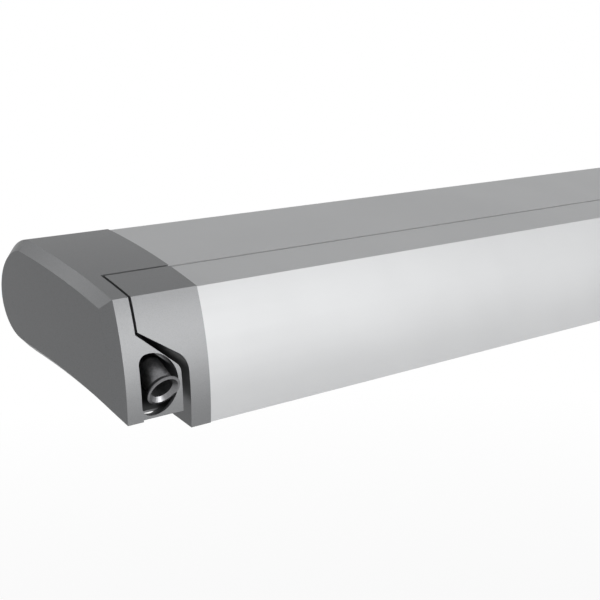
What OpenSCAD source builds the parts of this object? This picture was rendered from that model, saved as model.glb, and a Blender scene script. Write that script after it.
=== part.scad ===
// Roll out awning for a caravan or camper: a cassette that holds a rolled canopy, two folding arms
// and a lead rail with two stowed legs. X runs along the length, the front faces -Y and +Z is up.
// The origin is at the middle of the wall land on the back of the housing.

/* [Length and section] */
// Overall length over the two end caps
total_l = 2600; // [2200:50:3400]
// Depth of the section at the roller's axis, from the front corner
roller_y = 135; // [134:0.5:136]
// Height of the roller's axis above the end cap's front corner
roller_z = 76; // [75:0.5:77]
// Outer radius of the rounded back
back_r = 45; // [44.5:0.5:46]
// Downward slope of the canopy and of the arms
slope = 11.5; // [10.5:0.5:12.5]
// Width of the moulded end caps, along the length
cap_w = 76; // [74:1:84]
// Width of the bevel round an end cap's side
bevel = 8; // [6:0.5:10]
// Wall of the moulded caps
cap_wall = 3; // [2.5:0.5:4]
// Wall of the aluminium extrusions
skin = 2; // [1.6:0.1:2.4]
// How far the caps stand proud of the extrusions
proud = 1; // [0.8:0.1:1.5]
// Width of the gap between the fixed caps and the lead rail
gap = 2.4; // [1.5:0.1:3]

/* [Winch] */
// Distance of the winch axis from the end cap's edge
winch_x = 31.2; // [30.6:0.2:31.4]
// Angle of the winch axis, upwards to the back
winch_angle = 31; // [30.5:0.5:31.5]
// Outer radius of the crank socket's mouth
mouth_r = 14; // [13:0.5:14]
// Radius of the crank socket's bore
socket_r = 9; // [8.5:0.5:9.5]
// Depth of the crank socket's bore
socket_depth = 16; // [12:1:20]
// Teeth on the worm wheel
wheel_teeth = 28; // [24:1:32]

/* [Roller] */
// Outer radius of the roller tube
tube_r = 31; // [28:0.5:31]
// Radius of the rolled canopy
roll_r = 36.3; // [35:0.1:36.5]

/* [Arms] */
// Distance of the folded elbows from the middle
elbow_half = 100; // [60:5:160]
// Distance between the shoulder and hand pivots when folded
pivot_pitch = 34; // [33:0.5:36]
// Width of an arm profile
arm_w = 26; // [22:0.5:28]
// Height of an arm profile
arm_h = 40; // [34:1:42]
// Radius of the pins in the arms
arm_pin_r = 6; // [5:0.5:7]

/* [Legs] */
// Distance of a stowed leg tube's end from the middle
leg_end = 140; // [120:5:200]
// Width of a leg's outer tube
leg_w = 18; // [16:0.5:18]
// Height of a leg's outer tube
leg_h = 24; // [22:0.5:24]
// Radius of the leg hinge pins
leg_pin_r = 4; // [3:0.5:4.5]

/* [Hidden] */
$fn = 64;
over = 1;
sheet_t = 0.6;

// Colours
cap_grey = "dimgray";
alu = "silver";
cast = "gray";
steel = "lightsteelblue";
rubber = "black";
cloth = "darkgray";

// Section: y runs back from the front corner of the caps and z runs up from it
toe = [0, 0];
bend = [15.7, 92.6];
crest = [136.7, 120.2];
heel = [146, 31.6];
front_r = 275;
top_r = 770;
under_r = 762;
wall_y = roller_y + back_r;
wall_z = roller_z;
land_h = 30;
rail_drop = 13.6;
edge_x = total_l / 2 - bevel;
profile_x = edge_x - cap_w;
split_u = 73;
leg_side = 3;
lane_y = [2 * leg_side + leg_w / 2, 2 * leg_side + 1.5 * leg_w + 5];
channel_y = lane_y[1] + leg_w / 2 + leg_side;
floor_y = channel_y + 4;
lip_top = 24;
land_t = 6;
hook_d = 4;
hook_h = 6;
hook_z = -8;
port_r = 2.2;
ports = [[76, 26.5], [120, 33.5], [150, 115.4]];
plate_t = 5;
seal_n = 85.2;
screw_y = [100, 125];
screw_r = 2;
screw_head_r = 3.8;
head_sink = 1;

// The split between a fixed cap and the rail cap, seen along the travel of the lead rail
cheek_left = 13.5;
cheek_c = [41, 30.5];
rail_cheek = [14, 30];
fixed_cheek = [9, 37];
foot_w = 14;
foot_step = 1.4;

// Winch and gear
window_c = [23.4, 27];
window_r = 23.5;
window_x = 13;
window_corner = 8;
window_depth = 8;
winch_z = 22.7;
winch_dir = [cos(winch_angle), sin(winch_angle)];
winch_reach = roller_y * winch_dir[0] + (roller_z - winch_z) * winch_dir[1];
gear_c = abs((roller_z - winch_z) * winch_dir[0] - roller_y * winch_dir[1]);
worm_r = 7;
wheel_r = gear_c - worm_r;
shaft_r = 4;
eye_r = 11;
eye_start = -2.5;
flare = 3;
rim_t = 1.2;
eye_l = 25.2;
neck_l = 4;
worm_pitch = 3.2;
gear_screws = [for (a = [190, 270, 350]) roller_screw(a)];
case_x = [winch_x - 13, winch_x + 11];
case_u = [-30, 12];
case_wall = 3;
case_half = 10;
screw_boss_r = 3.2;
gear_screw_r = 1.5;
shaft_end = winch_reach + 8;
hex_r = 5.5;

// Arms, in the sloping frame: u runs back and n runs up, square to the slope
arm_y = 64;
arm_z = 60;
arm_u = arm_y * cos(slope) + arm_z * sin(slope);
arm_n = arm_z * cos(slope) - arm_y * sin(slope);
lane = pivot_pitch / 2 - 1;
shoulder_x = profile_x - 36;
hand_r = 13.5;
eye_h = 36;
ear_t = 6;
ear_gap = 0.4;
knuckle_h = 18;
profile_start = 26;
fork_r = 16.5;
link_x = shoulder_x - elbow_half;
tube_end = link_x - profile_start - 6;
upper_y = -pivot_pitch / 2 + lane;
fore_y = -pivot_pitch / 2 - lane;
ear_top = eye_h / 2 + ear_gap + ear_t;
ear_sink = 1.5;
pin_head_r = arm_pin_r + 3;
pin_head_h = 2;

// Roller and canopy
roller_u = roller_y * cos(slope) + roller_z * sin(slope);
roller_n = roller_z * cos(slope) - roller_y * sin(slope);
canopy_n = roller_n + roll_r + sheet_t / 2;
canopy_half = profile_x - 22;
keder_u = 48;
keder_r = 3;
keder_n = canopy_n - keder_r + sheet_t / 2;
front_u = split_u - 2;
tail_u = [split_u + 3, roller_u - 15.5];
lead_u = [keder_u + 12, split_u + 1];
roller_half = profile_x - 12;
hub_r = 9;
idle_r = 6;
bush_r = 13;

// Legs
leg_z = 5;
leg_x = profile_x - 16;
cheek_gap = 0.3;
cheek_t = 2;
leg_cheek_r = 7;
lever_r = 2.5;
leg_l = leg_x - leg_end;
lever_x = leg_l + 7;
lever_z = -leg_h / 2 - lever_r;
web_z = 20;
inner_w = 13;
inner_h = 18;
foot_x = leg_l + 30;

// Centre of the arc of radius r that bows outwards from p to q
function arc_centre(p, q, r) =
    (p + q) / 2 + [q[1] - p[1], p[0] - q[0]] / norm(q - p) * sqrt(r * r - norm(q - p) * norm(q - p) / 4);
front_c = arc_centre(toe, bend, front_r);
top_c = arc_centre(bend, crest, top_r);
under_c = arc_centre(toe, heel, under_r);
back_c = [roller_y, roller_z];
function roller_screw(a) = [roller_y, roller_z] + (wheel_r + 6.5) * [cos(a), sin(a)];
// Height of the caps' underside at a depth y
function under_z(y) = under_c[1] + sqrt(pow(under_r + foot_step, 2) - pow(y - under_c[0], 2));
// Points of an arc from one angle to another, in even steps of at most 6 degrees
function arc(c, r, a0, a1) = let (n = ceil(abs(a1 - a0) / 6))
    [for (i = [0:n]) c + r * [cos(a0 + (a1 - a0) * i / n), sin(a0 + (a1 - a0) * i / n)]];

// Placing: from the front corner of the section to the wall land, and into the sloping frame
module from_mount() translate([0, -wall_y, -wall_z]) children();
module left_end() from_mount() translate([-edge_x, 0, 0]) children();
module right_side() mirror([1, 0, 0]) children();
module tilted() rotate([slope, 0, 0]) children();
module along_x(x0, x1) translate([x0, 0, 0]) rotate([90, 0, 90]) linear_extrude(x1 - x0) children();
module along_u(u0, u1) translate([0, u1, 0]) rotate([90, 0, 0]) linear_extrude(u1 - u0) children();
module arm_frame() from_mount() translate([-shoulder_x, 0, 0]) tilted() translate([0, arm_u, arm_n]) children();

module box(x, y, z) translate([x[0], y[0], z[0]]) cube([x[1] - x[0], y[1] - y[0], z[1] - z[0]]);
module rod(c, r, x0, x1, r2 = undef, fn = 64)
    translate([x0, c[0], c[1]]) rotate([0, 90, 0])
        cylinder(r1 = r, r2 = r2 == undef ? r : r2, h = x1 - x0, $fn = fn);

module rounded_2d(w, h, r) {
    square([w - 2 * r, h], center = true);
    square([w, h - 2 * r], center = true);
    for (x = [-1, 1])
        for (y = [-1, 1])
            translate([x * (w / 2 - r), y * (h / 2 - r)]) circle(r, $fn = 32);
}

// The cassette's teardrop outline, drawn inwards by an inset
module section_2d(inset) difference() {
    intersection() {
        translate(front_c) circle(front_r - inset, $fn = 360);
        translate(top_c) circle(top_r - inset, $fn = 720);
        union() {
            translate([-50, -50]) square([roller_y + 50, 250]);
            translate(back_c) circle(back_r - inset, $fn = 180);
        }
    }
    translate(under_c) circle(under_r + inset, $fn = 720);
}

// A disc along X whose radius changes at 45 degrees up to the start of the cap's straight part
module bevelled(c, r, side, start, x0, x1) translate([0, c[0], c[1]]) rotate([90, 0, 90])
    rotate_extrude($fn = 360)
        polygon([[0, x0], [r - side * (start - x0), x0], [r, start], [r, x1], [0, x1]]);

// The same outline as a solid with the bevel round its outer end
module cap_solid(inset, x0, x1) {
    start = inset * (sqrt(2) - 1);
    difference() {
        intersection() {
            bevelled(front_c, front_r - inset, 1, start, x0, x1);
            bevelled(top_c, top_r - inset, 1, start, x0, x1);
            union() {
                box([x0 - over, x1 + over], [-50, roller_y], [-50, 200]);
                bevelled(back_c, back_r - inset, 1, start, x0, x1);
            }
        }
        bevelled(under_c, under_r + inset, -1, start, x0 - over, x1 + over);
    }
}

// The lead rail's outline: the same front and top, carried down below the cassette's corner. The
// inset draws in the front and top, and the edge inset draws in the back and the bottom
module rail_2d(inset, edge) intersection() {
    translate(front_c) circle(front_r - inset, $fn = 360);
    translate(top_c) circle(top_r - inset, $fn = 720);
    rotate(slope) translate([-60, -rail_drop + edge]) square([60 + split_u - gap - edge, 220]);
}

// What stays with the fixed cap in front of the split, seen along the lead rail's travel
module cheek_2d(form, grow) {
    r = form[0] + grow;
    side = cheek_left + grow;
    tip = cheek_c + r * [sin(form[1]), cos(form[1])];
    polygon(concat([[-30, -80], [-30, 160], [side, 160], [side, tip[1] + (tip[0] - side) * tan(form[1])]],
        arc(cheek_c, r, 90 - form[1], 0), [[cheek_c[0] + r, -80]]));
}

// The fixed cap's share of space: all behind the split, and the cheek in front of it
module fixed_space(inset) tilted() {
    box([-40, 200], [split_u + inset, 260], [-80, 200]);
    along_u(-60, split_u + inset + over) cheek_2d(fixed_cheek, -inset);
}

// End caps
module end_cap(with_winch) difference() {
    intersection() {
        cap_solid(0, -bevel, cap_w);
        fixed_space(0);
    }
    intersection() {
        cap_solid(cap_wall, -bevel + cap_wall, cap_w + over);
        fixed_space(cap_wall);
    }
    rod(under_c, under_r + foot_step, foot_w, cap_w + over, fn = 720);
    if (with_winch) {
        winch_window();
        winch_axis() cylinder(r = shaft_r + 1, h = winch_reach);
    }
    for (y = screw_y)
        translate([cap_w - 12, y, 0]) {
            cylinder(r = screw_r, h = 60);
            cylinder(r = screw_head_r + 0.2, h = under_z(y) + head_sink);
        }
}

// The crank opening in a cap's front: a circle cut off at its left, with rounded corners
module winch_window() translate([0, window_depth, 0]) rotate([90, 0, 0]) linear_extrude(60) {
    aside = window_x + window_corner - window_c[0];
    above = sqrt((window_r - window_corner) * (window_r - window_corner) - aside * aside);
    turn = atan2(above, aside);
    polygon(concat(arc(window_c, window_r, -turn, turn),
        arc(window_c + [aside, above], window_corner, turn, 180),
        arc(window_c + [aside, -above], window_corner, 180, 360 - turn)));
}

module left_end_cap() color(cap_grey) left_end() end_cap(true);
module right_end_cap() color(cap_grey) right_side() left_end() end_cap(false);

module rail_cap() color(cap_grey) left_end() difference() {
    along_x(0, cap_w) rail_2d(0, 0);
    difference() {
        along_x(-over, cap_w + over) rail_2d(cap_wall, cap_wall);
        tilted() along_u(-60, split_u + over) cheek_2d(rail_cheek, gap + cap_wall);
    }
    tilted() along_u(-60, split_u + over) cheek_2d(rail_cheek, gap);
}

module left_rail_cap() rail_cap();
module right_rail_cap() right_side() rail_cap();

// Housing: an open extrusion with the wall land, an upstand at the front of its floor and screw ports
module port_2d(c) translate(c) circle(port_r + 1.6, $fn = 32);

module housing_2d() difference() {
    union() {
        difference() {
            section_2d(proud);
            section_2d(proud + skin);
        }
        intersection() {
            section_2d(proud);
            union() {
                translate([floor_y, 0]) square([skin, lip_top]);
                for (c = ports)
                    port_2d(c);
            }
        }
        translate([wall_y - land_t, wall_z - land_h / 2]) square([land_t, land_h]);
    }
    for (c = ports)
        translate(c) circle(port_r, $fn = 32);
    translate([-50, -50]) square([50 + floor_y, 100]);
    rotate(slope) translate([-60, 0]) square([60 + split_u, 200]);
    translate([wall_y - hook_d, wall_z + hook_z - hook_h / 2]) square([hook_d + over, hook_h]);
}

module housing_profile() color(alu) from_mount() along_x(-profile_x, profile_x) housing_2d();

// Lead rail: the front and top wall, the leg channel under its web and the canopy groove
module lead_rail_2d() difference() {
    union() {
        difference() {
            rail_2d(proud, 0);
            rail_2d(proud + skin, -over);
        }
        intersection() {
            rail_2d(proud, 0);
            union() {
                translate([0, web_z]) square([channel_y + skin, skin]);
                translate([channel_y, -20]) square([skin, 20 + web_z + skin]);
            }
        }
        rotate(slope) translate([keder_u, keder_n]) circle(keder_r + 2.2, $fn = 32);
    }
    rotate(slope) translate([keder_u, keder_n]) {
        circle(keder_r + 0.2, $fn = 32);
        translate([0, 0.8]) square([10, 3.2]);
    }
}

module lead_rail_profile() color(alu) from_mount() along_x(-profile_x, profile_x) lead_rail_2d();

// Structural plates on the ends of the housing
module end_plate() difference() {
    along_x(cap_w - plate_t - 0.5, cap_w - 0.5) intersection() {
        section_2d(cap_wall + 1);
        rotate(slope) translate([split_u + cap_wall + 1, 0]) square([200, 200]);
    }
    rod(back_c, bush_r, 0, cap_w + over);
}

module left_end_plate() color(cast) left_end() end_plate();
module right_end_plate() color(cast) right_side() left_end() end_plate();

module roller_bush() color(rubber) {
    left_end() bush();
    right_side() left_end() bush();
}

module bush() difference() {
    union() {
        rod(back_c, bush_r, cap_w - plate_t - 0.5, cap_w - 0.5);
        rod(back_c, bush_r + 2, cap_w - plate_t - 2, cap_w - plate_t - 0.5);
    }
    rod(back_c, hub_r + 0.05, 0, cap_w + over);
}

// Gearbox: a case and a cover round the worm and its wheel
module case_2d(inset) {
    translate(back_c) circle(wheel_r + 7 - inset);
    translate([0, winch_z]) rotate(winch_angle) translate([winch_reach + case_u[0] + inset, -case_half + inset])
        square([case_u[1] - case_u[0] - 2 * inset, 2 * (case_half - inset)]);
}

module case_outline() {
    case_2d(0);
    for (c = gear_screws)
        translate(c) circle(screw_boss_r, $fn = 32);
}

module gearbox_case() color(cast) left_end() difference() {
    along_x(case_x[0], case_x[1]) case_outline();
    along_x(case_x[0] + case_wall, case_x[1] + over) case_2d(case_wall);
    winch_axis() cylinder(r = shaft_r + 0.05, h = winch_reach);
    for (c = gear_screws)
        rod(c, gear_screw_r, case_x[1] - 8, case_x[1] + over);
}

module gearbox_cover() color(cast) left_end() difference() {
    along_x(case_x[1], case_x[1] + case_wall) case_outline();
    rod(back_c, hub_r + 0.05, 0, cap_w);
    for (c = gear_screws)
        rod(c, gear_screw_r, 0, cap_w);
}

module gearbox_screws() color(steel) left_end() for (c = gear_screws) {
    rod(c, gear_screw_r, case_x[1] - 8, case_x[1] + case_wall);
    rod(c, 2 * gear_screw_r, case_x[1] + case_wall, case_x[1] + case_wall + 2);
}

// The winch axis as a local Z, from the mouth's plane upwards and back
module winch_axis() translate([winch_x, 0, winch_z]) rotate([winch_angle - 90, 0, 0]) children();

module worm_shaft() color(steel) left_end() winch_axis() difference() {
    union() {
        translate([0, 0, eye_start]) cylinder(r = mouth_r, h = rim_t);
        translate([0, 0, eye_start + rim_t]) cylinder(r1 = mouth_r - 0.4, r2 = eye_r, h = neck_l);
        translate([0, 0, eye_start + rim_t + neck_l]) cylinder(r = eye_r, h = eye_l - rim_t - neck_l);
        translate([0, 0, eye_start + eye_l]) cylinder(r1 = eye_r, r2 = shaft_r, h = 2 * neck_l);
        translate([0, 0, eye_start + eye_l + neck_l]) cylinder(r = shaft_r, h = shaft_end - eye_start - eye_l - neck_l);
        translate([0, 0, winch_reach - 18]) cylinder(r = worm_r - 1.6, h = shaft_end - winch_reach + 18);
        for (i = [-5:2])
            translate([0, 0, winch_reach + i * worm_pitch]) {
                translate([0, 0, -1.2]) cylinder(r1 = worm_r - 1.6, r2 = worm_r - 0.2, h = 1.2);
                cylinder(r1 = worm_r - 0.2, r2 = worm_r - 1.6, h = 1.2);
            }
    }
    translate([0, 0, eye_start - over]) cylinder(r = socket_r, h = socket_depth + over);
    translate([0, 0, eye_start]) cylinder(r1 = socket_r + flare, r2 = socket_r, h = flare);
    translate([0, 0, eye_start + socket_depth - over]) cylinder(r = hex_r, h = 8 + over, $fn = 6);
}

// Roller: a tube with the wound canopy, a plug in each end and the worm wheel on the drive plug's hub
module roller_tube() color(alu) from_mount() difference() {
    rod(back_c, tube_r, -roller_half, roller_half);
    rod(back_c, tube_r - 1.5, -roller_half - over, roller_half + over);
}

module canopy_roll() color(cloth) from_mount() difference() {
    rod(back_c, roll_r, -canopy_half, canopy_half);
    rod(back_c, tube_r, -canopy_half - over, canopy_half + over);
}

module drive_plug() color(cast) left_end() {
    rod(back_c, tube_r - 1.5, edge_x - roller_half, edge_x - roller_half + 18);
    rod(back_c, hub_r, case_x[0] + case_wall + 1, edge_x - roller_half);
}

module worm_wheel() color("goldenrod") left_end() difference() {
    rod(back_c, wheel_r - 0.4, winch_x - 5, winch_x + 5);
    rod(back_c, hub_r, 0, cap_w);
    for (i = [0:wheel_teeth - 1])
        translate([0, back_c[0], back_c[1]]) rotate([i * 360 / wheel_teeth, 0, 0])
            box([0, cap_w], [wheel_r - 1.9, wheel_r + 2], [-0.8, 0.8]);
}

module idle_plug() color(cast) right_side() left_end() difference() {
    rod(back_c, tube_r - 1.5, edge_x - roller_half, edge_x - roller_half + 18);
    rod(back_c, idle_r + 0.05, 0, cap_w + 40);
}

module roller_idle_pin() color(steel) right_side() left_end() {
    rod(back_c, hub_r + 0.05, cap_w - plate_t - 2, cap_w - 0.5);
    rod(back_c, idle_r, cap_w - 0.5, edge_x - roller_half + 16);
}

// A forked bracket with two ears round an eye at the local origin
module ears(r, x, y) for (s = [-1, 1])
    translate([0, 0, s > 0 ? eye_h / 2 + ear_gap : -eye_h / 2 - ear_gap - ear_t]) {
        cylinder(r = r, h = ear_t);
        box(x, y, [0, ear_t]);
    }

module above(z) from_mount() box([-total_l, total_l], [-50, 300], [z, 300]);

module shoulder_bracket() color(cast) difference() {
    union() {
        arm_frame() {
            ears(hand_r, [-hand_r, hand_r], [0, 18]);
            box([-hand_r - 5, 30], [17, 24], [-ear_top, ear_top]);
        }
        intersection() {
            arm_frame() box([-hand_r - 5, 30], [10, 24], [-60, -ear_top]);
            from_mount() along_x(-total_l, total_l) section_2d(proud + skin);
        }
    }
    arm_frame() translate([0, 0, -50]) cylinder(r = arm_pin_r, h = 100);
}

module pivot_pin(z0, z1) {
    translate([0, 0, z0]) cylinder(r = arm_pin_r, h = z1 - z0);
    translate([0, 0, z1]) cylinder(r = pin_head_r, h = pin_head_h);
}

module collared_pin(h) {
    pivot_pin(-h, h);
    translate([0, 0, -h - pin_head_h]) cylinder(r = pin_head_r, h = pin_head_h);
}

module left_shoulder_bracket() shoulder_bracket();
module right_shoulder_bracket() right_side() shoulder_bracket();
module left_shoulder_pin() color(steel) arm_frame() collared_pin(ear_top);
module right_shoulder_pin() right_side() left_shoulder_pin();

// Arm profiles: rounded box tubes in two lanes, side by side when folded
module arm_tube(x0, x1, y) color(alu) arm_frame() difference() {
    translate([0, y, 0]) along_x(x0, x1) rounded_2d(arm_w, arm_h, 5);
    translate([0, y, 0]) along_x(x0 - over, x1 + over) rounded_2d(arm_w - 5, arm_h - 5, 2.5);
}

module arm_plug(x0, x1, y) translate([0, y, 0]) along_x(x0, x1) rounded_2d(arm_w - 5, arm_h - 5, 2.5);

module upper_arm() arm_tube(profile_start, tube_end, upper_y);
module forearm() arm_tube(profile_start, tube_end, fore_y);

// An eye at an arm's end, with the plug that fills the profile's end
module eye(y, pivot_y) color(cast) arm_frame() difference() {
    union() {
        translate([0, pivot_y, -eye_h / 2]) cylinder(r = hand_r, h = eye_h);
        box([0, profile_start], [y - 9, y + 9], [-eye_h / 2, eye_h / 2]);
        arm_plug(profile_start - 1, profile_start + 30, y);
    }
    translate([0, pivot_y, -50]) cylinder(r = arm_pin_r + 0.05, h = 100);
}

module left_shoulder_eye() eye(upper_y, 0);
module right_shoulder_eye() right_side() left_shoulder_eye();
module left_hand_eye() eye(fore_y, -pivot_pitch);
module right_hand_eye() right_side() left_hand_eye();

module elbow_fork() color(cast) arm_frame() difference() {
    union() {
        for (s = [-1, 1])
            translate([link_x, 0, s > 0 ? knuckle_h / 2 + ear_gap : -arm_h / 2]) {
                translate([0, -pivot_pitch / 2, 0]) cylinder(r = fork_r, h = arm_h / 2 - knuckle_h / 2 - ear_gap);
                box([-24, 0], [-pivot_pitch / 2 + 4, upper_y + 6], [0, arm_h / 2 - knuckle_h / 2 - ear_gap]);
            }
        translate([0, upper_y, 0]) along_x(tube_end, link_x - 20) rounded_2d(arm_w, arm_h, 5);
        arm_plug(tube_end - 30, tube_end + over, upper_y);
    }
    translate([link_x, -pivot_pitch / 2, -50]) cylinder(r = arm_pin_r, h = 100);
}

module elbow_knuckle() color(cast) arm_frame() difference() {
    union() {
        translate([link_x, -pivot_pitch / 2, -knuckle_h / 2]) cylinder(r = fork_r - 0.5, h = knuckle_h);
        box([tube_end, link_x], [fore_y - 9, fore_y + 11], [-knuckle_h / 2, knuckle_h / 2]);
        arm_plug(tube_end - 30, tube_end + over, fore_y);
    }
    translate([link_x, -pivot_pitch / 2, -50]) cylinder(r = arm_pin_r + 0.05, h = 100);
}

module elbow_pin() color(steel) arm_frame() translate([link_x, -pivot_pitch / 2, 0])
    collared_pin(arm_h / 2);

module left_upper_arm() upper_arm();
module right_upper_arm() right_side() upper_arm();
module left_forearm() forearm();
module right_forearm() right_side() forearm();
module left_elbow_fork() elbow_fork();
module right_elbow_fork() right_side() elbow_fork();
module left_elbow_knuckle() elbow_knuckle();
module right_elbow_knuckle() right_side() elbow_knuckle();
module left_elbow_pin() elbow_pin();
module right_elbow_pin() right_side() elbow_pin();

// Hand brackets, which carry the lead rail on the arms' ends
module hand_bracket() color(cast) difference() {
    union() {
        arm_frame() translate([0, -pivot_pitch, 0]) {
            ears(hand_r - 1.5, [-20, 0], [-hand_r + 2, hand_r]);
            box([-27, -17], [-hand_r + 2, hand_r], [-ear_top, ear_top]);
        }
        intersection() {
            arm_frame() translate([0, -pivot_pitch, 0])
                box([-27, hand_r - 3], [-hand_r + 2, hand_r], [-40, -ear_top]);
            above(web_z + skin);
        }
    }
    arm_frame() translate([0, -pivot_pitch, -ear_top]) {
        cylinder(r = arm_pin_r, h = 100);
        translate([0, 0, 2 * ear_top - ear_sink]) cylinder(r = pin_head_r + 0.2, h = 10);
    }
}

module left_hand_bracket() hand_bracket();
module right_hand_bracket() right_side() hand_bracket();
module left_hand_pin() color(steel) arm_frame() translate([0, -pivot_pitch, 0])
    pivot_pin(-ear_top, ear_top - ear_sink);
module right_hand_pin() right_side() left_hand_pin();

// Seals: one under the housing's top lip and one on the back of the lead rail's channel
module lip_seal() color(rubber) from_mount() along_x(-profile_x + 4, profile_x - 4) intersection() {
    rotate(slope) translate([split_u + 1, seal_n]) square([6, 6]);
    section_2d(proud + skin);
}
module rail_seal() color(rubber) from_mount()
    along_x(-profile_x + 4, profile_x - 4) translate([channel_y + skin, web_z - 8]) square([1.6, 8]);

// Screws through the undersides of the caps
module cap_screw_set() for (y = screw_y)
    left_end() translate([cap_w - 12, y, under_z(y)]) {
        cylinder(r = screw_r, h = 8);
        translate([0, 0, -head_sink]) cylinder(r = screw_head_r, h = 2 * head_sink);
    }
module cap_screws() color(steel) {
    cap_screw_set();
    right_side() cap_screw_set();
}

// Legs: a tube with a rounded head, a collar, a sliding tube, a lock lever and a foot
module leg_frame(i) from_mount() translate([-leg_x, lane_y[i], leg_z]) children();
module across(r, w) rotate([90, 0, 0]) cylinder(r = r, h = w, center = true);

module leg_tube(i) color(alu) leg_frame(i) difference() {
    union() {
        across(leg_h / 2, leg_w);
        box([0, 40], [-leg_w / 2, leg_w / 2], [-leg_h / 2, leg_h / 2]);
        along_x(39, leg_l) rounded_2d(leg_w, leg_h, 3);
    }
    along_x(40, leg_l + over) rounded_2d(leg_w - 3, leg_h - 3, 1.5);
    across(leg_pin_r + 0.05, 40);
}

module leg_collar(i) color(cap_grey) leg_frame(i) difference() {
    union() {
        along_x(leg_l, leg_l + 14) rounded_2d(leg_w, leg_h, 3);
        for (s = [-1, 1])
            translate([lever_x, s * 6, lever_z]) {
                across(lever_r, 3);
                box([-lever_r, lever_r], [-1.5, 1.5], [0, lever_r + 1.5]);
            }
    }
    along_x(leg_l - over, leg_l + 20) rounded_2d(inner_w + 0.6, inner_h + 0.6, 1.5);
    translate([lever_x, 0, lever_z]) across(1.25, 30);
}

module leg_inner(i) color(alu) leg_frame(i) difference() {
    union() {
        along_x(80, leg_l + 22) rounded_2d(inner_w, inner_h, 2);
        for (s = [-1, 1])
            translate([foot_x, s * 5, 0]) {
                across(6, 3);
                box([-10, 0], [-1.5, 1.5], [-6, 6]);
            }
    }
    along_x(79, leg_l + 12) rounded_2d(inner_w - 3, inner_h - 3, 1);
    translate([foot_x, 0, 0]) across(2, 30);
}

module leg_lever(i) color(rubber) leg_frame(i) translate([lever_x, 0, lever_z]) {
    across(lever_r, 8.4);
    across(1.2, 15);
    box([-46, 0], [-4.2, 4.2], [-lever_r, 1]);
}

module foot(i) color(rubber) leg_frame(i) translate([foot_x, 0, 0]) {
    across(5, 6.4);
    across(1.95, 13);
    box([-3, 3], [-3.2, 3.2], [0, 8]);
    box([-6, 46], [-leg_w / 2, leg_w / 2], [7.6, 10.6]);
}

module left_leg_tube() leg_tube(0);
module right_leg_tube() right_side() leg_tube(1);
module left_leg_collar() leg_collar(0);
module right_leg_collar() right_side() leg_collar(1);
module left_leg_inner() leg_inner(0);
module right_leg_inner() right_side() leg_inner(1);
module left_leg_lever() leg_lever(0);
module right_leg_lever() right_side() leg_lever(1);
module left_foot() foot(0);
module right_foot() right_side() foot(1);

// Hinge cheeks for the legs, under the lead rail's web
module leg_cheeks(i) leg_frame(i) for (s = [-1, 1])
    translate([0, s * (leg_w / 2 + cheek_gap + cheek_t / 2), 0]) difference() {
        union() {
            across(leg_cheek_r, cheek_t);
            box([-leg_cheek_r, leg_cheek_r], [-cheek_t / 2, cheek_t / 2], [0, web_z - leg_z]);
        }
        across(leg_pin_r, 2 * cheek_t);
    }

module leg_brackets() color(steel) {
    leg_cheeks(0);
    right_side() leg_cheeks(1);
}

module leg_hinge_pins() color(steel) {
    leg_frame(0) across(leg_pin_r, leg_w + 2 * (cheek_gap + cheek_t));
    right_side() leg_frame(1) across(leg_pin_r, leg_w + 2 * (cheek_gap + cheek_t));
}

// Canopy: the strip at the lead rail with its cord, the strip above the roll and the lead-in strip
module strip(u0, u1, n) from_mount() tilted()
    box([-canopy_half, canopy_half], [u0, u1], [n - sheet_t / 2, n + sheet_t / 2]);

module canopy_front() color(cloth) {
    strip(keder_u, front_u, canopy_n);
    from_mount() tilted() rod([keder_u, keder_n], keder_r, -canopy_half, canopy_half);
}

module canopy_tail() color(cloth) strip(tail_u[0], tail_u[1], canopy_n);
module canopy_lead() color(cloth) strip(lead_u[0], lead_u[1], canopy_n - 1.3);

housing_profile();
left_end_cap();
right_end_cap();
left_end_plate();
right_end_plate();
gearbox_case();
gearbox_cover();
gearbox_screws();
left_shoulder_bracket();
right_shoulder_bracket();
left_shoulder_pin();
right_shoulder_pin();
roller_idle_pin();
roller_bush();
cap_screws();
lip_seal();
roller_tube();
canopy_roll();
worm_wheel();
drive_plug();
idle_plug();
worm_shaft();
left_upper_arm();
left_shoulder_eye();
left_elbow_fork();
left_elbow_pin();
left_forearm();
left_elbow_knuckle();
left_hand_eye();
right_upper_arm();
right_shoulder_eye();
right_elbow_fork();
right_elbow_pin();
right_forearm();
right_elbow_knuckle();
right_hand_eye();
lead_rail_profile();
left_rail_cap();
right_rail_cap();
left_hand_bracket();
right_hand_bracket();
left_hand_pin();
right_hand_pin();
rail_seal();
leg_brackets();
leg_hinge_pins();
left_leg_tube();
right_leg_tube();
left_leg_collar();
right_leg_collar();
left_leg_inner();
right_leg_inner();
left_leg_lever();
right_leg_lever();
left_foot();
right_foot();
canopy_front();
canopy_tail();
canopy_lead();
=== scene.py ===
"""Roll out awning: a closed cassette with folding arms, a roller canopy and a lead rail with legs."""
import math

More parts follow.
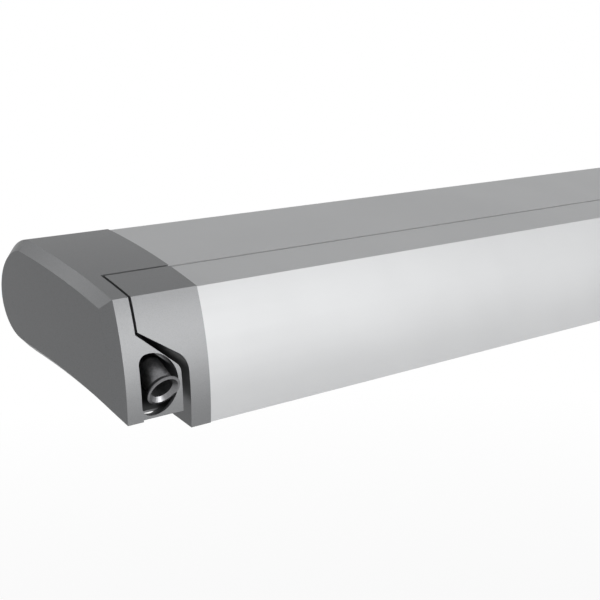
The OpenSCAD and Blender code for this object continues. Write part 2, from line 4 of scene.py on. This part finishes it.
import bpy
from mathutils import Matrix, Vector


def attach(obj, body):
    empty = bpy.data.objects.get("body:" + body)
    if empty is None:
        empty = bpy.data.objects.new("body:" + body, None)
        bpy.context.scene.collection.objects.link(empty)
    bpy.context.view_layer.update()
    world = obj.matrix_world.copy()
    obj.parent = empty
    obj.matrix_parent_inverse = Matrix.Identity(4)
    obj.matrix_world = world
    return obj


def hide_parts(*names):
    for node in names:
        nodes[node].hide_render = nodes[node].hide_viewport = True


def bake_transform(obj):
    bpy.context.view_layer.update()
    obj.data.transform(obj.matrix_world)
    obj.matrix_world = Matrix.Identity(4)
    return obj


# The awning hangs on a wall by the land at the origin, and X runs along its length.
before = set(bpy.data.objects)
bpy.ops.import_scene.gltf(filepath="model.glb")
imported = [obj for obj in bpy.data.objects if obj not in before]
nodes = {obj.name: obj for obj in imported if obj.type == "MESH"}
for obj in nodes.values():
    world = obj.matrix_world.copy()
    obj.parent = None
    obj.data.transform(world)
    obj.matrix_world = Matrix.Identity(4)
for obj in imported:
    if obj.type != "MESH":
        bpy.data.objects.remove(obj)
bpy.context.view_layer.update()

# The camera stands in front of the left end and a little above it, level with no roll.
# Its lens and place come from the picture's vanishing point and the end cap's width.
camera_place = Vector((-1.7597, -0.9148, 0.2155))
camera_forward = Vector((0.6375, 0.7378, -0.2220))
camera_data = bpy.data.cameras.new("camera")
camera_data.lens = 73.8
camera_data.sensor_width = 36.0
camera_data.clip_start = 0.05
camera = bpy.data.objects.new("camera", camera_data)
camera.location = camera_place
camera.rotation_euler = camera_forward.to_track_quat("-Z", "Y").to_euler()
bpy.context.scene.collection.objects.link(camera)
bpy.context.scene.camera = camera


# The housing, the lead rail and the tubes are extruded aluminium, satin anodised. The die leaves
# fine lines along the length, and the anodising scatters the light into a soft sheen.
def new_material(name, base, metallic, roughness):
    material = bpy.data.materials.new(name)
    material.use_nodes = True
    shader = material.node_tree.nodes["Principled BSDF"]
    shader.inputs["Base Color"].default_value = (*base, 1.0)
    shader.inputs["Metallic"].default_value = metallic
    shader.inputs["Roughness"].default_value = roughness
    return material


def add(tree, kind, **settings):
    node = tree.nodes.new(kind)
    for key, value in settings.items():
        setattr(node, key, value)
    return node


def group_socket(tree, name, direction, kind, default=None):
    socket = tree.interface.new_socket(name, in_out=direction, socket_type=kind)
    if default is not None:
        socket.default_value = default


# Lines along X: noise stretched several hundred times along the part, given out as a height and
# a mask.
def make_die_lines():
    tree = bpy.data.node_groups.new("die_lines", "ShaderNodeTree")
    group_socket(tree, "Across", "INPUT", "NodeSocketFloat", 900.0)
    group_socket(tree, "Along", "INPUT", "NodeSocketFloat", 1.2)
    group_socket(tree, "Height", "OUTPUT", "NodeSocketFloat")
    group_socket(tree, "Cloud", "OUTPUT", "NodeSocketFloat")
    given = add(tree, "NodeGroupInput")
    place = add(tree, "ShaderNodeTexCoord")
    scale = add(tree, "ShaderNodeCombineXYZ")
    stretch = add(tree, "ShaderNodeVectorMath", operation="MULTIPLY")
    lines = add(tree, "ShaderNodeTexNoise")
    lines.inputs["Scale"].default_value = 1.0
    lines.inputs["Detail"].default_value = 3.0
    cloud = add(tree, "ShaderNodeTexNoise")
    cloud.inputs["Scale"].default_value = 9.0
    cloud.inputs["Detail"].default_value = 2.0
    out = add(tree, "NodeGroupOutput")
    tree.links.new(given.outputs["Along"], scale.inputs["X"])
    tree.links.new(given.outputs["Across"], scale.inputs["Y"])
    tree.links.new(given.outputs["Across"], scale.inputs["Z"])
    tree.links.new(place.outputs["Object"], stretch.inputs[0])
    tree.links.new(scale.outputs["Vector"], stretch.inputs[1])
    tree.links.new(stretch.outputs["Vector"], lines.inputs["Vector"])
    tree.links.new(place.outputs["Object"], cloud.inputs["Vector"])
    tree.links.new(lines.outputs["Fac"], out.inputs["Height"])
    tree.links.new(cloud.outputs["Fac"], out.inputs["Cloud"])
    return tree


die_lines = make_die_lines()


def use_group(tree, group, **values):
    node = add(tree, "ShaderNodeGroup")
    node.node_tree = group
    for key, value in values.items():
        node.inputs[key].default_value = value
    return node


def drive(tree, source, low, high, target):
    """Feeds a socket with a value between low and high, after a mask."""
    spread = add(tree, "ShaderNodeMapRange")
    spread.inputs["From Min"].default_value = 0.3
    spread.inputs["From Max"].default_value = 0.7
    spread.inputs["To Min"].default_value = low
    spread.inputs["To Max"].default_value = high
    tree.links.new(source, spread.inputs["Value"])
    tree.links.new(spread.outputs["Result"], target)


def shade_between(tree, source, dark, light, target):
    """Feeds a colour socket with a mix of two colours, after a mask."""
    mix = add(tree, "ShaderNodeMix", data_type="RGBA")
    mix.inputs["A"].default_value = (*dark, 1.0)
    mix.inputs["B"].default_value = (*light, 1.0)
    tree.links.new(source, mix.inputs["Factor"])
    tree.links.new(mix.outputs["Result"], target)


def bump(tree, source, distance, strength, target):
    """Feeds a normal socket with the bumps of a height."""
    node = add(tree, "ShaderNodeBump")
    node.inputs["Distance"].default_value = distance
    node.inputs["Strength"].default_value = strength
    tree.links.new(source, node.inputs["Height"])
    tree.links.new(node.outputs["Normal"], target)


silver_dark = (0.54, 0.545, 0.55)
silver_light = (0.62, 0.625, 0.63)
anodised = new_material("anodised", silver_light, 0.28, 0.5)
tree = anodised.node_tree
shader = tree.nodes["Principled BSDF"]
lines = use_group(tree, die_lines, Across=900.0, Along=1.2)
shade_between(tree, lines.outputs["Cloud"], silver_dark, silver_light, shader.inputs["Base Color"])
drive(tree, lines.outputs["Height"], 0.48, 0.52, shader.inputs["Roughness"])
bump(tree, lines.outputs["Height"], 0.000005, 0.1, shader.inputs["Normal"])


def paint(material, *names):
    for name in names:
        node = nodes[name]
        node.data.materials.clear()
        node.data.materials.append(material)


paint(anodised, "housing_profile", "lead_rail_profile", "roller_tube")
paint(anodised, "left_upper_arm", "right_upper_arm", "left_forearm", "right_forearm")
paint(anodised, "left_leg_tube", "right_leg_tube", "left_leg_inner", "right_leg_inner")


# The end caps and rail caps are moulded in grey plastic with metal flake, with a fine spark
# texture. They clip over the ends of the extrusions and stand a little proud of them.
def make_moulded_texture():
    tree = bpy.data.node_groups.new("moulded_texture", "ShaderNodeTree")
    group_socket(tree, "Grain", "INPUT", "NodeSocketFloat", 1800.0)
    group_socket(tree, "Height", "OUTPUT", "NodeSocketFloat")
    group_socket(tree, "Flake", "OUTPUT", "NodeSocketFloat")
    given = add(tree, "NodeGroupInput")
    place = add(tree, "ShaderNodeTexCoord")
    grain = add(tree, "ShaderNodeTexNoise")
    grain.inputs["Detail"].default_value = 4.0
    flake = add(tree, "ShaderNodeTexVoronoi")
    out = add(tree, "NodeGroupOutput")
    tree.links.new(place.outputs["Object"], grain.inputs["Vector"])
    tree.links.new(place.outputs["Object"], flake.inputs["Vector"])
    tree.links.new(given.outputs["Grain"], grain.inputs["Scale"])
    tree.links.new(given.outputs["Grain"], flake.inputs["Scale"])
    tree.links.new(grain.outputs["Fac"], out.inputs["Height"])
    tree.links.new(flake.outputs["Distance"], out.inputs["Flake"])
    return tree


moulded_texture = make_moulded_texture()
cap_dark = (0.205, 0.208, 0.212)
cap_light = (0.250, 0.253, 0.257)
moulded_grey = new_material("moulded_grey", cap_light, 0.38, 0.4)
tree = moulded_grey.node_tree
shader = tree.nodes["Principled BSDF"]
shader.inputs["Specular IOR Level"].default_value = 0.1
texture = use_group(tree, moulded_texture, Grain=1800.0)
shade_between(tree, texture.outputs["Flake"], cap_light, cap_dark, shader.inputs["Base Color"])
drive(tree, texture.outputs["Height"], 0.36, 0.44, shader.inputs["Roughness"])
bump(tree, texture.outputs["Height"], 0.00005, 0.25, shader.inputs["Normal"])
paint(moulded_grey, "left_end_cap", "right_end_cap", "left_rail_cap", "right_rail_cap")
paint(moulded_grey, "left_leg_collar", "right_leg_collar")


def soften_edges(radius, *names):
    """Rounds the sharp edges a little, as the mould or the die leaves them."""
    for name in names:
        edge = nodes[name].modifiers.new("soft_edges", "BEVEL")
        edge.width = radius
        edge.segments = 2
        edge.limit_method = "ANGLE"
        edge.angle_limit = math.radians(30)
        edge.harden_normals = True


moulded_edge = 0.0006
extruded_edge = 0.0004
soften_edges(moulded_edge, "left_end_cap", "right_end_cap", "left_rail_cap", "right_rail_cap")
soften_edges(extruded_edge, "housing_profile", "lead_rail_profile")


# The crank socket is turned from plated steel and sits in the oval opening. Its flared mouth is
# bright where the crank hook rubs it, and the hex at its bottom turns the worm.
steel_dark = (0.10, 0.10, 0.105)
steel_light = (0.32, 0.32, 0.33)
turned_steel = new_material("turned_steel", steel_light, 0.9, 0.35)
tree = turned_steel.node_tree
shader = tree.nodes["Principled BSDF"]
texture = use_group(tree, moulded_texture, Grain=600.0)
shade_between(tree, texture.outputs["Height"], steel_dark, steel_light, shader.inputs["Base Color"])
drive(tree, texture.outputs["Height"], 0.28, 0.45, shader.inputs["Roughness"])
paint(turned_steel, "worm_shaft", "leg_brackets", "leg_hinge_pins", "cap_screws", "gearbox_screws")
paint(turned_steel, "roller_idle_pin", "left_shoulder_pin", "right_shoulder_pin")
paint(turned_steel, "left_elbow_pin", "right_elbow_pin", "left_hand_pin", "right_hand_pin")


# The brackets, arm knuckles, gearbox and end plates are die cast in aluminium and painted grey.
# Their skin has the faint orange peel of powder paint.
cast_base = (0.30, 0.305, 0.31)
cast_shade = (0.25, 0.255, 0.26)
painted_casting = new_material("painted_casting", cast_base, 0.2, 0.5)
tree = painted_casting.node_tree
shader = tree.nodes["Principled BSDF"]
texture = use_group(tree, moulded_texture, Grain=500.0)
shade_between(tree, texture.outputs["Height"], cast_shade, cast_base, shader.inputs["Base Color"])
bump(tree, texture.outputs["Height"], 0.0001, 0.3, shader.inputs["Normal"])
paint(painted_casting, "left_end_plate", "right_end_plate", "gearbox_case", "gearbox_cover")
paint(painted_casting, "left_shoulder_bracket", "right_shoulder_bracket", "drive_plug", "idle_plug")
paint(painted_casting, "left_shoulder_eye", "right_shoulder_eye", "left_elbow_fork", "right_elbow_fork")
paint(painted_casting, "left_elbow_knuckle", "right_elbow_knuckle", "left_hand_eye", "right_hand_eye")
paint(painted_casting, "left_hand_bracket", "right_hand_bracket")


# The seals are extruded black rubber pushed into the edges of the extrusions. The lock levers,
# feet and roller bushes are moulded in black nylon.
rubber_base = (0.018, 0.018, 0.018)
rubber_worn = (0.04, 0.04, 0.04)
black_rubber = new_material("black_rubber", rubber_base, 0.0, 0.6)
tree = black_rubber.node_tree
shader = tree.nodes["Principled BSDF"]
texture = use_group(tree, moulded_texture, Grain=900.0)
shade_between(tree, texture.outputs["Height"], rubber_base, rubber_worn, shader.inputs["Base Color"])
bump(tree, texture.outputs["Height"], 0.0001, 0.3, shader.inputs["Normal"])
paint(black_rubber, "lip_seal", "rail_seal", "roller_bush")
paint(black_rubber, "left_leg_lever", "right_leg_lever", "left_foot", "right_foot")


# The worm wheel is cut from bronze and runs in grease on the drive plug's hub.
bronze_base = (0.42, 0.27, 0.10)
gear_bronze = new_material("gear_bronze", bronze_base, 0.9, 0.38)
tree = gear_bronze.node_tree
shader = tree.nodes["Principled BSDF"]
texture = use_group(tree, moulded_texture, Grain=700.0)
drive(tree, texture.outputs["Height"], 0.30, 0.46, shader.inputs["Roughness"])
paint(gear_bronze, "worm_wheel")


# The canopy is woven polyester coated with grey vinyl, welded to a cord at the lead rail. It
# leaves the top of the roll, passes under the housing's lip and runs to the groove in the rail.
slope = math.radians(11.5)
toe_y = -0.180
toe_z = -0.076
canopy_half = 1.194
keder_u = 0.048
lead_u = 0.060
tail_u = 0.132
roll_top_u = 0.1455
canopy_n = 0.0842
lap_drop = 0.0018
lap_ramp = 0.0125
lap_start = 0.1
canopy_sag = 0.004


def sloped(x, u, n):
    """A point of the sloping frame in the row frame: u runs back and n runs up, square to the slope."""
    return Vector((
        x,
        toe_y + u * math.cos(slope) - n * math.sin(slope),
        toe_z + u * math.sin(slope) + n * math.cos(slope),
    ))


def make_weave():
    tree = bpy.data.node_groups.new("weave", "ShaderNodeTree")
    group_socket(tree, "Threads", "INPUT", "NodeSocketFloat", 4200.0)
    group_socket(tree, "Height", "OUTPUT", "NodeSocketFloat")
    group_socket(tree, "Cloud", "OUTPUT", "NodeSocketFloat")
    given = add(tree, "NodeGroupInput")
    place = add(tree, "ShaderNodeTexCoord")
    out = add(tree, "NodeGroupOutput")
    warp = add(tree, "ShaderNodeTexWave", bands_direction="X")
    weft = add(tree, "ShaderNodeTexWave", bands_direction="Y")
    for wave in (warp, weft):
        wave.inputs["Distortion"].default_value = 0.6
        tree.links.new(place.outputs["Object"], wave.inputs["Vector"])
        tree.links.new(given.outputs["Threads"], wave.inputs["Scale"])
    cross = add(tree, "ShaderNodeMath", operation="MULTIPLY")
    tree.links.new(warp.outputs["Fac"], cross.inputs[0])
    tree.links.new(weft.outputs["Fac"], cross.inputs[1])
    cloud = add(tree, "ShaderNodeTexNoise")
    cloud.inputs["Scale"].default_value = 3.0
    tree.links.new(place.outputs["Object"], cloud.inputs["Vector"])
    tree.links.new(cross.outputs["Value"], out.inputs["Height"])
    tree.links.new(cloud.outputs["Fac"], out.inputs["Cloud"])
    return tree


weave = make_weave()
cloth_light = (0.36, 0.37, 0.385)
cloth_dark = (0.30, 0.31, 0.325)
coated_cloth = new_material("coated_cloth", cloth_light, 0.0, 0.62)
tree = coated_cloth.node_tree
shader = tree.nodes["Principled BSDF"]
shader.inputs["Sheen Weight"].default_value = 0.15
threads = use_group(tree, weave, Threads=420.0)
shade_between(tree, threads.outputs["Cloud"], cloth_dark, cloth_light, shader.inputs["Base Color"])
bump(tree, threads.outputs["Height"], 0.0002, 0.35, shader.inputs["Normal"])


def grid_mesh(name, columns, rows, place):
    """A sheet of quads: place(i, j) gives each corner for i along the length and j across it."""
    mesh = bpy.data.meshes.new(name)
    points = [place(i / columns, j / rows) for j in range(rows + 1) for i in range(columns + 1)]
    wide = columns + 1
    faces = [
        (j * wide + i, j * wide + i + 1, (j + 1) * wide + i + 1, (j + 1) * wide + i)
        for j in range(rows)
        for i in range(columns)
    ]
    mesh.from_pydata(points, [], faces)
    mesh.polygons.foreach_set("use_smooth", [True] * len(faces))
    piece = bpy.data.objects.new(name, mesh)
    bpy.context.scene.collection.objects.link(piece)
    return piece


def canopy_sheet(name, front_u, back_u, drop):
    """One stretch of canopy between two depths. It sags a little, and the lower one ramps down."""
    def place(i, j):
        x = canopy_half * (2 * i - 1)
        u = front_u + (back_u - front_u) * j
        across = max(0.0, math.sin(math.pi * (u - keder_u) / (tail_u - keder_u)))
        sag = canopy_sag * across * (1 - (2 * i - 1) ** 4)
        n = canopy_n - sag - drop * min(1.0, lap_start + (back_u - u) / lap_ramp)
        return sloped(x, u, n)

    piece = grid_mesh(name, 96, 60, place)
    piece.data.materials.append(coated_cloth)
    return piece


front_sheet = canopy_sheet("canopy_front_sheet", keder_u, tail_u, 0.0)
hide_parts("canopy_front", "canopy_tail")
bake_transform(front_sheet)

lead_sheet = canopy_sheet("canopy_lead_sheet", lead_u, roll_top_u, lap_drop)
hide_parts("canopy_lead")
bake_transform(lead_sheet)


# The welt cord is a round vinyl bead that slides into the lead rail's groove and holds the canopy.
keder_r = 0.003
keder_n = canopy_n - keder_r + 0.0003


def rod_mesh(name, radius, centre_u, centre_n, half, sides=20):
    def place(i, j):
        angle = 2 * math.pi * j
        u = centre_u + radius * math.cos(angle)
        n = centre_n + radius * math.sin(angle)
        return sloped(half * (2 * i - 1), u, n)

    return grid_mesh(name, 24, sides, place)


welt_cord = rod_mesh("welt_cord", keder_r, keder_u, keder_n, canopy_half)
welt_cord.data.materials.append(coated_cloth)
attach(welt_cord, "lead_rail")


# The rest of the canopy is wound on the roller tube, about nine turns of the same cloth.
tube_r = 0.031
roll_r = 0.0363
roll_u = 0.14744
roll_n = 0.04756
wound_l = 1.974
core_gap = 0.0003
skin_gap = 0.0001
turns = 2 * wound_l / (2 * math.pi * (tube_r + roll_r))


def wound(i, j):
    angle = math.pi / 2 - 2 * math.pi * turns * (1 - j)
    radius = tube_r + core_gap + (roll_r - tube_r - core_gap - skin_gap) * j
    x = canopy_half * (2 * i - 1)
    return sloped(x, roll_u + radius * math.cos(angle), roll_n + radius * math.sin(angle))


canopy_roll = grid_mesh("canopy_wound", 16, 440, wound)
canopy_roll.data.materials.append(coated_cloth)
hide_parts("canopy_roll")
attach(canopy_roll, "roller")


# A pale floor just below the open legs' feet stands for the ground beside the vehicle. The floor
# and the world are white to the camera and in reflections, and the floor keeps a faint shadow
# near the awning. Seen from below, the floor is clear.
def white_ray(tree):
    """One where a ray comes from the camera, a glossy surface or glass."""
    path = add(tree, "ShaderNodeLightPath")
    glossy = add(tree, "ShaderNodeMath", operation="MAXIMUM")
    glass = add(tree, "ShaderNodeMath", operation="MAXIMUM")
    tree.links.new(path.outputs["Is Camera Ray"], glossy.inputs[0])
    tree.links.new(path.outputs["Is Glossy Ray"], glossy.inputs[1])
    tree.links.new(glossy.outputs["Value"], glass.inputs[0])
    tree.links.new(path.outputs["Is Transmission Ray"], glass.inputs[1])
    return glass.outputs["Value"]


floor_z = -2.37
floor_half = 60
floor_mesh = bpy.data.meshes.new("floor")
floor_mesh.from_pydata(
    [(x * floor_half, y * floor_half, floor_z) for x, y in ((-1, -1), (1, -1), (1, 1), (-1, 1))],
    [],
    [(0, 1, 2, 3)])
floor = bpy.data.objects.new("floor", floor_mesh)
bpy.context.scene.collection.objects.link(floor)
floor_paint = new_material("floor_paint", (0.82, 0.82, 0.82), 0.0, 0.8)
tree = floor_paint.node_tree
place = add(tree, "ShaderNodeTexCoord")
far = add(tree, "ShaderNodeVectorMath", operation="LENGTH")
fade = add(tree, "ShaderNodeMapRange")
fade.inputs["From Min"].default_value = 2.5
fade.inputs["From Max"].default_value = 7.0
fade.inputs["To Min"].default_value = 0.9
fade.inputs["To Max"].default_value = 1.0
share = add(tree, "ShaderNodeMath", operation="MULTIPLY")
glow = add(tree, "ShaderNodeEmission")
choose = add(tree, "ShaderNodeMixShader")
tree.links.new(place.outputs["Object"], far.inputs[0])
tree.links.new(far.outputs["Value"], fade.inputs["Value"])
tree.links.new(fade.outputs["Result"], share.inputs[0])
tree.links.new(white_ray(tree), share.inputs[1])
tree.links.new(share.outputs["Value"], choose.inputs["Fac"])
tree.links.new(tree.nodes["Principled BSDF"].outputs["BSDF"], choose.inputs[1])
tree.links.new(glow.outputs["Emission"], choose.inputs[2])
under = add(tree, "ShaderNodeNewGeometry")
clear = add(tree, "ShaderNodeBsdfTransparent")
open_below = add(tree, "ShaderNodeMixShader")
tree.links.new(under.outputs["Backfacing"], open_below.inputs["Fac"])
tree.links.new(choose.outputs["Shader"], open_below.inputs[1])
tree.links.new(clear.outputs["BSDF"], open_below.inputs[2])
tree.links.new(open_below.outputs["Shader"], tree.nodes["Material Output"].inputs["Surface"])
floor_mesh.materials.append(floor_paint)

world = bpy.data.worlds.new("world")
bpy.context.scene.world = world
world.use_nodes = True
tree = world.node_tree
studio = tree.nodes["Background"]
studio.inputs["Color"].default_value = (0.62, 0.63, 0.65, 1.0)
studio.inputs["Strength"].default_value = 0.2
white = add(tree, "ShaderNodeBackground")
white.inputs["Color"].default_value = (1.0, 1.0, 1.0, 1.0)
choose = add(tree, "ShaderNodeMixShader")
tree.links.new(white_ray(tree), choose.inputs["Fac"])
tree.links.new(studio.outputs["Background"], choose.inputs[1])
tree.links.new(white.outputs["Background"], choose.inputs[2])
tree.links.new(choose.outputs["Shader"], tree.nodes["World Output"].inputs["Surface"])
bpy.context.scene.view_settings.view_transform = "Standard"


def lamp(name, place, target, size, power):
    data = bpy.data.lights.new(name, "AREA")
    data.shape = "DISK"
    data.size = size
    data.energy = power
    piece = bpy.data.objects.new(name, data)
    piece.location = place
    piece.rotation_euler = (Vector(target) - Vector(place)).to_track_quat("-Z", "Y").to_euler()
    bpy.context.scene.collection.objects.link(piece)


# One broad lamp far in front, a weak one off the left end and a small one for the cap's bevel.
lamp("front_lamp", (8.51, -17.74, 2.8), (-0.9, -0.1, 0.0), 10.6, 2230.0)
lamp("end_lamp", (-4.0, 0.2, 0.3), (-1.2, 0.0, 0.0), 1.6, 4.0)
lamp("edge_lamp", (-1.94, 0.8, 1.0), (-1.28, -0.06, 0.04), 0.12, 1.6)
